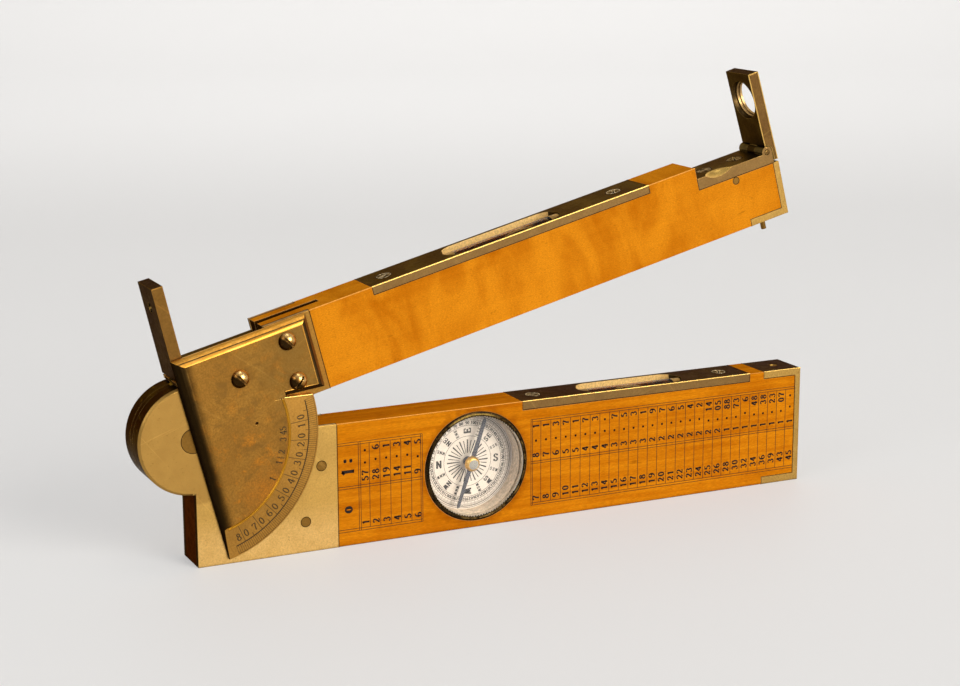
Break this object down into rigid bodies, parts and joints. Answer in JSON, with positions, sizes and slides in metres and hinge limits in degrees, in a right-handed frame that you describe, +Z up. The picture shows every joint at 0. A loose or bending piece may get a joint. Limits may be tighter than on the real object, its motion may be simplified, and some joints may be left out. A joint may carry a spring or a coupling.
{
  "type": "clinometer",
  "caption": "Pocket clinometer: hinged boxwood and brass arms with a degree quadrant, spirit levels, folding sights and a small inset compass.",
  "frame": {"origin": "centre of the lower arm's rest edge, the long lower edge that it stands on", "axes": "+X along the lower arm away from the knuckle joint, -Y toward the quadrant and the compass face, +Z up"},
  "size_m": [0.1645, 0.0137, 0.0998],
  "materials": {
    "boxwood": "oiled honey-coloured boxwood",
    "pale_brass": "clean polished brass with a light haze",
    "dark_brass": "dark brown patinated brass",
    "patinated_brass": "mottled warm brown brass, brighter on its edges",
    "bright_brass": "bright turned brass",
    "blued_steel": "blued steel",
    "silvered_dial": "silvered brass with black printing",
    "white_bed": "cream plaster under the vials",
    "vial_glass": "clear glass over yellowish spirit",
    "compass_glass": "clear flat glass"
  },
  "bodies": {
    "lower_arm": {"lower_wood": "boxwood", "joint_leaf_front": "pale_brass", "joint_leaf_back": "pale_brass", "joint_pin": "dark_brass", "leaf_rivets": "dark_brass", "lower_level_plate": "dark_brass", "lower_vial": "vial_glass", "lower_vial_plugs": "bright_brass", "lower_vial_bed": "white_bed", "lower_level_screws": "bright_brass", "lower_end_cap": "pale_brass", "compass_bowl": "dark_brass", "compass_bezel": "dark_brass", "compass_glass": "compass_glass", "compass_dial": "silvered_dial", "compass_post": "blued_steel"},
    "needle": {"compass_needle": "blued_steel", "needle_cap": "bright_brass"},
    "upper_arm": {"upper_wood": "boxwood", "joint_tongue": "dark_brass", "upper_plate_front": "patinated_brass", "upper_plate_back": "patinated_brass", "upper_rivets": "dark_brass", "quadrant": "patinated_brass", "quadrant_screws": "patinated_brass", "upper_level_plate": "dark_brass", "upper_vial": "vial_glass", "upper_vial_plugs": "bright_brass", "upper_vial_bed": "white_bed", "upper_level_screws": "bright_brass", "front_sight_base": "patinated_brass", "front_sight_pin": "blued_steel", "front_base_screws": "patinated_brass", "rear_sight_base": "patinated_brass", "rear_sight_pin": "blued_steel", "rear_base_screws": "patinated_brass", "upper_end_cap": "pale_brass", "cross_pin": "dark_brass", "locating_pin": "dark_brass"},
    "front_sight": {"front_sight_leaf": "patinated_brass", "front_sight_ring": "bright_brass"},
    "rear_sight": {"rear_sight_leaf": "patinated_brass"}
  },
  "joints": [
    {"name": "knuckle", "type": "hinge", "parent": "lower_arm", "child": "upper_arm", "pos_m": [-0.07635, 0, 0.02815], "axis": [0, -1, 0], "range_deg": [-14.4, 165.6]},
    {"name": "front_sight_fold", "type": "hinge", "parent": "upper_arm", "child": "front_sight", "pos_m": [0.06494, 0, 0.08084], "axis": [0, -1, 0], "range_deg": [-2.4, 87.6]},
    {"name": "rear_sight_fold", "type": "hinge", "parent": "upper_arm", "child": "rear_sight", "pos_m": [-0.07783, 0, 0.04419], "axis": [0, 1, 0], "range_deg": [-1.5, 88.5]},
    {"name": "needle_turn", "type": "hinge", "parent": "lower_arm", "child": "needle", "pos_m": [-0.0105, 0, 0.0143], "axis": [0, -1, 0], "continuous": true}
  ]
}
